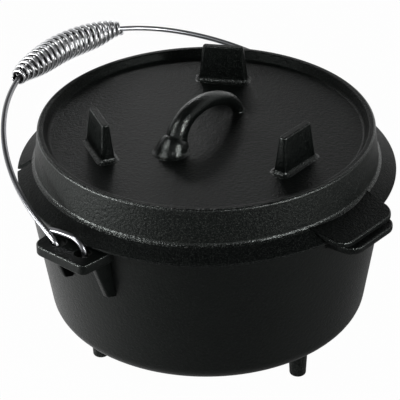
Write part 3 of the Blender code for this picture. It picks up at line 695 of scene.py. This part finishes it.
# %% Lid shell with the probe's notch
NOTCH_ANGLE, NOTCH_HALF, NOTCH_DEPTH = math.radians(133.1), 0.0032, 0.0092
NOTCH_CENTRE = SKIRT - NOTCH_DEPTH + NOTCH_HALF
notch_edge = math.asin(NOTCH_HALF / SKIRT)
notch_steps = np.linspace(-notch_edge, notch_edge, 25)
hair, gap = 0.0002, 0.004    # in radians: to the first column beside the slot, and the next
notch_angles = np.concatenate([[-notch_edge - hair], notch_steps, [notch_edge + hair]])
free_angles = np.linspace(notch_edge + gap, 2 * np.pi - notch_edge - gap, 288)
lid_angles = np.concatenate([notch_angles, free_angles])
inside = np.abs(lid_angles) <= notch_edge
reach_in = np.sqrt(np.maximum(NOTCH_HALF ** 2 - (NOTCH_CENTRE * np.sin(lid_angles)) ** 2, 0.0))
notch_limit = np.where(inside, NOTCH_CENTRE * np.cos(lid_angles) - reach_in, 1.0)
lid_shell = turned("lid_shell", lid_profile, lid_angles + NOTCH_ANGLE, notch_limit)
fit(lid_shell, deck_iron, "lid", "seasoned_cast_iron", "lid")

# %% [markdown]
# The lid is one mesh with four finishes: the deck's inside the lip, the coarser wall outside
# it, the skirt in a darker copy of the same iron (painted shade), and rubbed edges on the lip's
# outer round and in the corner where the wall meets the skirt. A mask drawn in a texture could
# blend them, but they meet where the form turns, so faces chosen by their place are enough and
# no seam shows.

# %% The lid's finishes
lip_band, lip_reach, foot_band, outside = 0.0018, LIP - 0.0016, 0.0014, 0.125
worn(lid_shell, wall_iron, lambda x, y, z, rise: np.hypot(x, y) > LIP - 0.0006)
worn(lid_shell, flange_iron_painted_shade, lambda x, y, z, rise: (
    (np.hypot(x, y) > WALL_FOOT + 0.0004) & (z < skirt_top + 0.0006)))
worn(lid_shell, edge_iron, lambda x, y, z, rise: (
    ((z > LID_TOP_Z - lip_band) & (np.hypot(x, y) > lip_reach))
    | ((np.abs(z - skirt_top) < foot_band) & (np.hypot(x, y) > outside))))
print("lid finishes:", [m.name for m in lid_shell.data.materials])

# %% [markdown]
# ### Feet on the lid
# Three tapered blades stand on the deck, so that the lid can lie upside down as a griddle. A
# cube with a Bevel could make one, but not its fillet at the deck. Here each is a stack of
# round-cornered rectangles: the half sizes shrink with height, spread in a quarter-round
# fillet at the deck and pull in round the top edge.


# %% Round-cornered blocks
def block_rings(half_long, half_wide, corner, heights, arc_steps=9):
    """Rings of a rectangle with round corners: corner centre + corner (cos turn, sin turn)."""
    turn = np.concatenate([np.linspace(q, q + 1, arc_steps) for q in range(4)]) * np.pi / 2
    sign_x = np.repeat([1, -1, -1, 1], arc_steps)
    sign_y = np.repeat([1, 1, -1, -1], arc_steps)
    x = sign_x * (half_wide - corner)[:, None] + corner[:, None] * np.cos(turn)
    y = sign_y * (half_long - corner)[:, None] + corner[:, None] * np.sin(turn)
    z = np.repeat(heights[:, None], len(turn), axis=1)
    return np.stack([x, y, z], axis=-1)


def foot_rings(height, base, top, fillet, edge, corner):
    """Heights and spreads of a blade: fillet - sqrt(fillet² - (fillet - z)²) at its root."""
    turn = np.linspace(0.0, np.pi / 2, 9)
    low = fillet * (1 - np.cos(turn))
    low_spread = fillet * (1 - np.sin(turn))
    middle = np.linspace(fillet + 0.0008, height - edge - 0.0006, 8)
    high = height - edge + edge * np.sin(turn)
    high_spread = -edge * (1 - np.cos(turn))
    heights = np.concatenate([[-0.0025], low, middle, high, [height, height]])
    spread = np.concatenate([[fillet], low_spread, np.zeros(8), high_spread,
                             [-edge - 0.0006, -edge - 0.0016]])
    share = np.clip(heights, 0.0, None) / height
    half_long = (base[0] + (top[0] - base[0]) * share) / 2 + spread
    half_wide = (base[1] + (top[1] - base[1]) * share) / 2 + spread
    corners = np.clip(corner + spread, 0.0004, None)
    return block_rings(half_long, half_wide, np.minimum(corners, half_wide - 0.0001), heights)


print("a foot tapers from %.1f mm to %.1f mm thick" % (FOOT_BASE[1] * 1000, FOOT_TOP[1] * 1000))

# %% Feet
for number, angle in enumerate(FOOT_ANGLES, start=1):
    rings = foot_rings(FOOT_HEIGHT, FOOT_BASE, FOOT_TOP, fillet=0.0034, edge=0.0011, corner=0.0024)
    foot = surface("lid_foot_%d" % number, rings)
    move(foot, turn_z(angle) @ Matrix.Translation((FOOT_CIRCLE, 0.0, DECK_Z)))
    fit(foot, deck_iron, "lid", "seasoned_cast_iron")
    worn(foot, edge_iron, lambda x, y, z, rise: (z < DECK_Z + 0.0026) | top_edges(x, y, z, rise))

# %% [markdown]
# ### Arched handle
# The handle is a round bar that tapers from a bell-shaped boss to a thin foot. Its middle line
# is half an ellipse whose top leans towards the boss. A curve with a round bevel could be
# drawn by hand. One tube function serves the bar, the bail and the grip, and it can also lay
# a UV map along the wires.


# %% Tubes along a path, and the handle's bar
def tube(name, path, radii, across, sides, with_uv=False):
    """Rings square to a path: point = path + radius (a cos turn + b sin turn).

    a is square to the path and to the reference direction across, b is square to both.
    """
    tangent = unit(np.gradient(path, axis=0))
    a = unit(np.cross(tangent, across))
    b = np.cross(tangent, a)
    turn = np.linspace(0.0, 2 * np.pi, sides, endpoint=False)
    ring = a[:, None] * np.cos(turn)[None, :, None] + b[:, None] * np.sin(turn)[None, :, None]
    grid = path[:, None] + ring * np.asarray(radii)[:, None, None]
    step = np.linalg.norm(np.diff(path, axis=0), axis=1)
    lengths = np.concatenate([[0.0], np.cumsum(step)]) if with_uv else None
    return surface(name, grid, lengths)


handle_place = turn_z(HANDLE_TURN) @ Matrix.Translation((0.0, 0.0, DECK_Z))
phi = np.linspace(np.pi, 0.0, 81)
boss_end, foot_end = -0.0339, 0.0394
bar_x = (boss_end + foot_end) / 2 + (foot_end - boss_end) / 2 * np.cos(phi) - 0.0083 * np.sin(phi)
bar = np.stack([bar_x, 0 * phi, HANDLE_HEIGHT * np.sin(phi)], axis=-1)
thick, thin = 0.0086, 0.0043
bar_radius = thick + (thin - thick) * np.linspace(0.0, 1.0, 81)
foot_fillet = 0.0016
rise = np.clip(foot_fillet - bar[:, 2], 0.0, foot_fillet)
near_foot = bar[:, 0] > 0
bar_radius = bar_radius + near_foot * (foot_fillet - np.sqrt(foot_fillet ** 2 - rise ** 2))
bar = np.concatenate([bar, [[foot_end, 0.0, -0.0015]]])
bar_radius = np.concatenate([bar_radius, bar_radius[-1:]])
handle = tube("lid_handle_bar", bar, bar_radius, np.array([0.0, 1.0, 0.0]), 40)
move(handle, handle_place)
fit(handle, handled_iron, "lid", "seasoned_cast_iron")

# %% [markdown]
# ### Bell-shaped boss
# The thick end stands in a boss like a small bell that leans with the bar. Its rings are
# circles whose radii fall slowly, then quickly, towards the bar, and each ring is tilted a
# little more than the one below. A sculpted shape could do it too. The radii, in thousandths
# of a metre, were set against the outline of the real one.

# %% Bell-shaped boss
boss_lean, boss_x, boss_shift, boss_height = math.radians(30.0), -0.0420, 0.0058, 0.0090
boss_share = np.array([-0.25, 0.0, 0.03, 0.08, 0.15, 0.24, 0.35, 0.48, 0.60, 0.70, 0.78, 0.85,
                       0.91, 0.96, 1.00, 1.03, 1.06])
boss_radius = np.array([14.6, 14.6, 13.6, 12.9, 12.35, 12.0, 11.75, 11.4, 11.05, 10.7, 10.35,
                        9.95, 9.5, 9.0, 8.4, 7.6, 6.0]) / 1000
tilt = boss_lean * np.clip(boss_share, 0.0, 1.0)
turn = np.linspace(0.0, 2 * np.pi, 64, endpoint=False)
u = boss_radius[:, None] * np.cos(turn)
v = boss_radius[:, None] * np.sin(turn)
boss_grid = np.stack([
    (boss_x + boss_shift * boss_share)[:, None] + u * np.cos(tilt)[:, None],
    v,
    (boss_height * boss_share)[:, None] - u * np.sin(tilt)[:, None],
], axis=-1)
boss = move(surface("lid_handle_boss", boss_grid), handle_place)
fit(boss, handled_iron, "lid", "seasoned_cast_iron")

# %% [markdown]
# ### Tab over the lifting ear
# The tab isn't stuck on: it swells out of the skirt, so near the wall its sides lie flush in
# the skirt's slope, and only past the skirt's rim do they become a real edge. Rings of the
# tab's outline carry that change: every point moves in from the outline by its own amount.

# %% The tab's rings
TAB_SWELL, TAB_ROUND, SIDE_SHARE = 0.0090, 0.0014, 0.3    # soft width, edge, and side's share


def skirt_height(radius):
    """The skirt's sloping top, carried on past its rim."""
    slope = (skirt_top - SKIRT_EDGE_Z - SKIRT_BAND) / (SKIRT - WALL_FOOT)
    return skirt_top - (radius - WALL_FOOT) * slope


def tab_rings():
    """Rings from the middle of the underside, round the edge, to the middle of the top.

    Over the skirt the edge is a soft swell: height = skirt + (top - skirt) smoothstep(inset).
    Past the rim it is an upright side with a quarter-round of 1.4 mm. The two are mixed by the
    outline point's distance from the axis.
    """
    line = shelf(TAB_REACH, root_half=0.0345, tip_half=0.0326, corners=(0.0125, 0.0125),
                 root=WALL_FOOT - 0.0024)
    inward = inward_of(line, line.mean(0))
    radius = np.hypot(*line.T)
    free = smoothstep(radius, 0.1395, 0.1500)
    at_root = radius < WALL_FOOT - 0.0005
    middle = np.array([0.1420, 0.0])

    def top(points):
        """The height of the tab's sloping top."""
        return TAB_EDGE_Z + (TAB_REACH - points[..., 0]) * TAB_SLOPE

    rings = []
    for share in np.linspace(0.06, 0.94, 8):
        flat = middle + (line - middle) * share
        rings.append(np.column_stack([flat, top(flat) - TAB_THICKNESS]))
    for t in np.linspace(0.0, 1.0, 15):
        turn = max(t - SIDE_SHARE, 0.0) / (1 - SIDE_SHARE) * np.pi / 2
        round_in = TAB_ROUND * (1 - np.cos(turn))
        inset = np.where(at_root, 0.0, free * round_in + (1 - free) * (TAB_SWELL * t))
        flat = line + inward * inset[:, None]
        roof, base = top(flat), skirt_height(np.hypot(*flat.T))
        soft = base + (roof - base) * smoothstep(t, 0.0, 1.0)
        side_height = (TAB_THICKNESS * (1 - min(t / SIDE_SHARE, 1.0))
                       + TAB_ROUND * (1 - np.sin(turn)))
        hard = roof - np.minimum(side_height, TAB_THICKNESS)
        rings.append(np.column_stack([flat, free * hard + (1 - free) * soft]))
    last = rings[-1][:, :2]
    for share in np.linspace(0.94, 0.06, 12):
        flat = middle + (last - middle) * share
        rings.append(np.column_stack([flat, top(flat)]))
    return np.array(rings)


print("the skirt slopes down %.1f mm" % ((skirt_top - skirt_height(SKIRT)) * 1000))

# %% Tab
tab_place = turn_z(-90.0) @ Matrix.Translation((0.0, -0.0009, 0.0))
tab = move(surface("lid_tab", tab_rings()), tab_place)
# The tab takes the skirt's darker iron: painted shade.
fit(tab, flange_iron_painted_shade, "lid", "seasoned_cast_iron")
worn(tab, edge_iron, lambda x, y, z, rise: top_edges(x, y, z, rise) & (np.hypot(x, y) > 0.1485)
     & (rise < 0.88))

# %% [markdown]
# ## The bail
# One steel wire makes the bail: a bow with a rounder top than sides, and at each foot an open
# hook that goes once round the bar between the ear's two holes. It could be drawn as a Bezier
# curve. Arcs worked out from the CAD's sizes keep it on the same line, and averaging their
# points softens the joints between them, as a bent wire does.


# %% Arcs, and the bail's lean
def arc_line(centre, radius, start, end, count):
    """Points on a circle between two angles in radians."""
    turn = np.linspace(start, end, count)
    return np.stack([centre[0] + radius * np.cos(turn), centre[1] + radius * np.sin(turn)], -1)


def lean(points):
    """Turns the upright bail down about the ears' axis: it comes to rest towards +Y."""
    x, y, z = points.T
    return np.stack([x, y * math.cos(BAIL_TILT) + z * math.sin(BAIL_TILT),
                     -y * math.sin(BAIL_TILT) + z * math.cos(BAIL_TILT) + PIVOT_Z], axis=-1)


print("the bail leans %.1f degrees from upright" % math.degrees(BAIL_TILT))


# %% The hook's middle line
def eye_line():
    """The hook at the -X end, at rest: cut end, down the far hole, round the bar, and up."""
    bend, end_radius = 0.0050, 0.0900
    inner = -BAIL_HALF_WIDTH + EYE_STEP
    tail = arc_line((0.0, EYE_RADIUS - end_radius), end_radius, math.radians(75.0),
                    math.radians(90.0), 12)
    bend_centre = EYE_RADIUS + bend
    bend_angle = math.asin(bend / bend_centre)
    join = math.pi / 2 - BAIL_TILT - bend_angle
    swept = np.linspace(math.pi / 2, 2 * math.pi + join, 90)[1:]
    ring = EYE_RADIUS * np.stack([np.cos(swept), np.sin(swept)], axis=-1)
    share = smoothstep(swept, math.radians(200.0), math.radians(340.0))
    along = np.array([math.sin(BAIL_TILT), math.cos(BAIL_TILT)])
    below = np.array([math.cos(BAIL_TILT), -math.sin(BAIL_TILT)])
    start = along * math.sqrt(bend_centre ** 2 - bend ** 2) + below * bend
    turn = math.pi - bend_angle - (math.pi / 2 - bend_angle) * np.linspace(0.0, 1.0, 13)[1:]
    back = start + bend * (np.outer(np.cos(turn), along) - np.outer(np.sin(turn), below))
    flat = np.concatenate([tail, ring, back])
    x = np.concatenate([np.full(len(tail), inner), inner - EYE_STEP * share,
                        np.full(len(back), -BAIL_HALF_WIDTH)])
    return np.column_stack([x, flat[:, 0], flat[:, 1] + PIVOT_Z])


eye = eye_line()
print("the hook's line has", len(eye), "points")


# %% The bow's middle line, and the whole bail's
def bow_line():
    """The bow from the -X foot over the top: flat side arcs that meet a rounder top arc."""
    side_radius = ((BAIL_HALF_WIDTH ** 2 + TOP_CENTRE ** 2 - BAIL_TOP_RADIUS ** 2)
                   / (2 * (BAIL_HALF_WIDTH - BAIL_TOP_RADIUS)))
    offset = side_radius - BAIL_HALF_WIDTH
    meet = math.atan2(TOP_CENTRE, offset)
    side = arc_line((-offset, 0.0), side_radius, math.radians(9.0), meet, 30)
    top = arc_line((0.0, TOP_CENTRE), BAIL_TOP_RADIUS, meet, math.pi - meet, 120)
    half = np.concatenate([side[:-1], top[:-1], (side * [-1, 1])[::-1]])
    return lean(np.column_stack([half[:, 0], 0 * half[:, 0], half[:, 1]])[::-1])


def evened(path, spacing, softness):
    """The same path with evenly spaced points, then each averaged with its neighbours."""
    step = np.linalg.norm(np.diff(path, axis=0), axis=1)
    length = np.concatenate([[0.0], np.cumsum(step)])
    count = int(length[-1] / spacing)
    even = np.linspace(0.0, length[-1], count)
    path = np.stack([np.interp(even, length, path[:, k]) for k in range(3)], axis=-1)
    for _ in range(softness):
        path[1:-1] = (path[:-2] + 2 * path[1:-1] + path[2:]) / 4
    return path


bail_path = evened(np.concatenate([eye, bow_line(), (eye * [-1, 1, 1])[::-1]]),
                   spacing=0.0009, softness=12)
print("the bail's line has", len(bail_path), "points, and is 0.9 mm from one to the next")

# %% Bail wire
# The rings' reference turns from the hook's axis to the bow's plane, so that they don't twist.
height_from_pivot = np.linalg.norm(bail_path[:, 1:] - [0.0, PIVOT_Z], axis=1)
hook_end, turn_length = 0.016, 0.030
blend = np.clip((height_from_pivot - hook_end) / turn_length, 0.0, 1.0)[:, None]
bow_normal = np.array([0.0, math.cos(BAIL_TILT), -math.sin(BAIL_TILT)])
reference = unit((1 - blend) * np.array([1.0, 0.0, 0.0]) + blend * bow_normal)
bail_radius = np.full(len(bail_path), BAIL_WIRE)
bail_radius[[0, -1]] *= 0.72    # the cut ends are broken a little
bail = tube("bail_wire", bail_path, bail_radius, reference, 20, with_uv=True)
fit(bail, bright_wire, "bail", "bright_steel_wire", "bail")

# %% [markdown]
# ## The grip
# The grip is a spring wound round the bail: a helix whose radius swells to a barrel and closes
# on the wire at both ends. It is stiffer than the bend it sits on, so its middle lies inside
# the bail's arc and its ends a little outside. A Screw modifier makes straight springs only,
# so each point is worked out from its place along the grip, -1 to 1, and its turn.

# %% Wound grip
opening, shoulder, off_middle = 0.065, 1.7, math.radians(0.8)
wound = np.linspace(-1.0, 1.0, int(GRIP_TURNS * 30) + 1)
turns_along = wound * (1.0 + opening * (1.0 - wound ** 2))
snug = BAIL_WIRE + GRIP_WIRE + 0.0003
slack = (GRIP_BARREL - GRIP_WIRE - snug) * np.cos(np.pi / 2 * np.abs(turns_along) ** shoulder)
sag = slack * (0.6 - 1.6 * turns_along ** 6)    # 0.6 of the slack inwards, 1.0 outwards at ends
angle = off_middle + GRIP_LENGTH / 2 / BAIL_TOP_RADIUS * turns_along
turn = np.pi * GRIP_TURNS * (wound + 1.0)
out = BAIL_TOP_RADIUS - sag + (snug + slack) * np.cos(turn)
coil = lean(np.stack([out * np.sin(angle), (snug + slack) * np.sin(turn),
                      TOP_CENTRE + out * np.cos(angle)], axis=-1))
centre_line = lean(np.stack([BAIL_TOP_RADIUS * np.sin(angle), 0 * angle,
                             TOP_CENTRE + BAIL_TOP_RADIUS * np.cos(angle)], axis=-1))
core = unit(np.gradient(centre_line, axis=0))
coil_radius = np.full(len(coil), GRIP_WIRE)
coil_radius[[0, -1]] *= 0.7
grip = tube("grip_coil", coil, coil_radius, core, 14, with_uv=True)
fit(grip, grip_steel, "grip", "bright_steel_wire", "grip_spring")

# %% [markdown]
# ## The camera
# The camera's place, tilt and lens were fitted to the ellipses of the lip, the skirt and the
# pot's foot: a long lens, well above the pot. A camera can also be aimed with a Track To
# constraint, but a matrix takes the small roll as well. Right and level are its two level
# directions in the pot's frame, and the lamps are placed by them too.

# %% Camera
CAMERA_TURN, CAMERA_DOWN, CAMERA_ROLL = 48.9, 31.023, -0.963    # degrees
CAMERA_RIGHT, CAMERA_LEVEL, CAMERA_HEIGHT = -0.00562, -1.3569, 0.9394
FOCAL_PIXELS, PHOTO_PIXELS, SENSOR = 2037.78, 400, 36.0
azimuth, elevation, roll = np.radians([CAMERA_TURN, CAMERA_DOWN, CAMERA_ROLL]).tolist()
right = Vector((math.cos(azimuth), -math.sin(azimuth), 0.0))
level = Vector((math.sin(azimuth), math.cos(azimuth), 0.0))
view = level * math.cos(elevation) - Vector((0, 0, 1)) * math.sin(elevation)
up = right.cross(view)
turned_right = right * math.cos(roll) + up * math.sin(roll)
turned_up = up * math.cos(roll) - right * math.sin(roll)
lens = bpy.data.cameras.new("product_camera")
lens.sensor_width = SENSOR
lens.lens = FOCAL_PIXELS / PHOTO_PIXELS * SENSOR
camera = add_object("product_camera", lens)
pose = Matrix((turned_right, turned_up, -view)).transposed().to_4x4()
pose.translation = (right * CAMERA_RIGHT + level * CAMERA_LEVEL
                    + Vector((0, 0, CAMERA_HEIGHT)))
camera.matrix_world = pose
bpy.context.scene.camera = camera
bpy.context.scene.view_settings.view_transform = "Standard"
print("camera at", tuple(round(c, 4) for c in pose.translation), "lens %.1f mm" % lens.lens)

# %% [markdown]
# ## The paper
# The pot stands on white paper that shows plain white, with next to no shadow. More light
# would do that too, and wash the black iron out. So the paper glows only towards the camera,
# with 2 parts in 100 of its shaded grey, and towards the rays that the iron mirrors. For
# those it is white behind the pot and at its left, and falls back to its shaded grey at the
# front right, where the iron mirrors something dark.

# %% Paper
SEEN_WHITE, MIRRORED_WHITE = 0.98, 0.95
DARK_FROM, DARK_TO = -0.14, 0.16    # metres from the pot's axis towards the front right
floor_mesh = bpy.data.meshes.new("floor")
floor_mesh.from_pydata([(-8, -8, 0), (8, -8, 0), (8, 8, 0), (-8, 8, 0)], [], [(0, 1, 2, 3)])
floor = add_object("floor", floor_mesh)
paper, tree, shader = new_material("white_paper_sweep")
shader.inputs["Base Color"].default_value = colour("BABABA")
shader.inputs["Roughness"].default_value = 0.9
shader.inputs["Specular IOR Level"].default_value = 0.0
ray = add_node(tree, "ShaderNodeLightPath").outputs
place = add_node(tree, "ShaderNodeTexCoord").outputs["Object"]
front_right = add_node(tree, "ShaderNodeVectorMath", {"operation": "DOT_PRODUCT"},
                       {0: place, 1: right * 0.75 - level * 0.66}).outputs["Value"]
mirrored = mapped(tree, front_right, DARK_FROM, DARK_TO, MIRRORED_WHITE, 0.0, smooth=True)
share = maths(tree, "MAXIMUM", maths(tree, "MULTIPLY", ray["Is Camera Ray"], SEEN_WHITE),
              maths(tree, "MULTIPLY", ray["Is Glossy Ray"], mirrored))
share = maths(tree, "MAXIMUM", share, ray["Is Transmission Ray"])
glow = add_node(tree, "ShaderNodeEmission", None, {"Color": (1, 1, 1, 1), "Strength": 1.0})
mixed = add_node(tree, "ShaderNodeMixShader", None,
                 {0: share, 1: shader.outputs["BSDF"], 2: glow.outputs["Emission"]})
tree.links.new(mixed.outputs["Shader"], tree.nodes["Material Output"].inputs["Surface"])
floor_mesh.materials.append(paper)
print("paper: %d nodes, %d m wide" % (len(tree.nodes), floor.dimensions.x))

# %% [markdown]
# ## The room
# What the iron mirrors from further off is in the world: white low down behind the pot, less
# than half as bright in front, and dark overhead, so that the flat deck stays black. Cards and
# a ceiling could be modelled, but two soft fades give the same without more objects.

# %% World
LOW_WHITE, OVERHEAD, IN_FRONT = 0.93, 0.10, 0.40
FADE, BEHIND = (0.44, 0.74), (0.35, 0.80)    # sine of the height; cosine off straight behind
world = bpy.data.worlds.new("studio")
bpy.context.scene.world = world
world.use_nodes = True
tree = world.node_tree
backdrop = tree.nodes["Background"]
direction = add_node(tree, "ShaderNodeTexCoord").outputs["Generated"]
height = add_node(tree, "ShaderNodeSeparateXYZ", None, {0: direction}).outputs["Z"]
behind = add_node(tree, "ShaderNodeVectorMath", {"operation": "DOT_PRODUCT"},
                  {0: direction, 1: level}).outputs["Value"]
sky = maths(tree, "MULTIPLY",
            mapped(tree, height, *FADE, LOW_WHITE, OVERHEAD, smooth=True),
            mapped(tree, behind, *BEHIND, IN_FRONT, 1.0, smooth=True))
ray = add_node(tree, "ShaderNodeLightPath").outputs
sky = maths(tree, "MAXIMUM", sky, ray["Is Camera Ray"])
sky = maths(tree, "MAXIMUM", sky, ray["Is Transmission Ray"])
tree.links.new(sky, backdrop.inputs["Color"])
backdrop.inputs["Strength"].default_value = 1.0
print("world: white up to %.0f degrees, dark from %.0f degrees"
      % tuple(math.degrees(math.asin(sine)) for sine in FADE))

# %% [markdown]
# ## The lamps
# The lamps stand where their mirror images fall on the real highlights. Point lamps would give
# hard sparks and shadows, so soft rectangles are used, because a glossy surface shows a lamp's
# shape: small ones for boss and edges, long low ones for the bands on the walls. A lamp's
# brightness is given for its face, so that its size doesn't change its mirror image's.

# %% Soft lamps
def softbox(name, azimuth, elevation, distance, size, radiance):
    """A rectangular soft lamp that faces the pot from a side of the camera, in degrees.

    Azimuth counts from the camera, plus to the right. The power follows from the brightness
    that the lamp's face should have: pi times its area times its radiance.
    """
    lamp = bpy.data.lights.new(name, "AREA")
    lamp.shape = "RECTANGLE"
    lamp.size, lamp.size_y = size
    lamp.energy = math.pi * size[0] * size[1] * radiance
    item = add_object(name, lamp)
    turn, rise = math.radians(azimuth), math.radians(elevation)
    aside = right * math.sin(turn) - level * math.cos(turn)
    item.location = (aside * math.cos(rise) + Vector((0, 0, math.sin(rise)))) * distance
    item.location.z += 0.12
    aim = Vector((0.0, 0.0, 0.12)) - item.location
    item.rotation_euler = aim.to_track_quat("-Z", "Y").to_euler()
    print("%s: %.1f W" % (name, lamp.energy))
    return item


# Low at the left: the broad sheen on the pot's and the lid's left side.
softbox("left_strip", -72.0, 0.0, 1.1, (0.52, 0.19), 42.0)
# Low and weak at the right: the narrow sheen near the right edge.
softbox("right_strip", 66.0, 0.0, 1.1, (0.36, 0.24), 8.0)
# High at the left: the bright lines on the lip, the boss and the wire.
softbox("left_edge_light", -61.0, 45.0, 1.3, (0.22, 0.20), 34.0)
# At the right, a little above: the line at the wall's foot and the boss's second highlight.
softbox("right_edge_light", 45.0, 21.0, 1.3, (0.24, 0.18), 66.0)
# Behind: the soft sheen on the deck.
softbox("back_softbox", -173.0, 32.0, 0.75, (0.11, 0.08), 11.0)
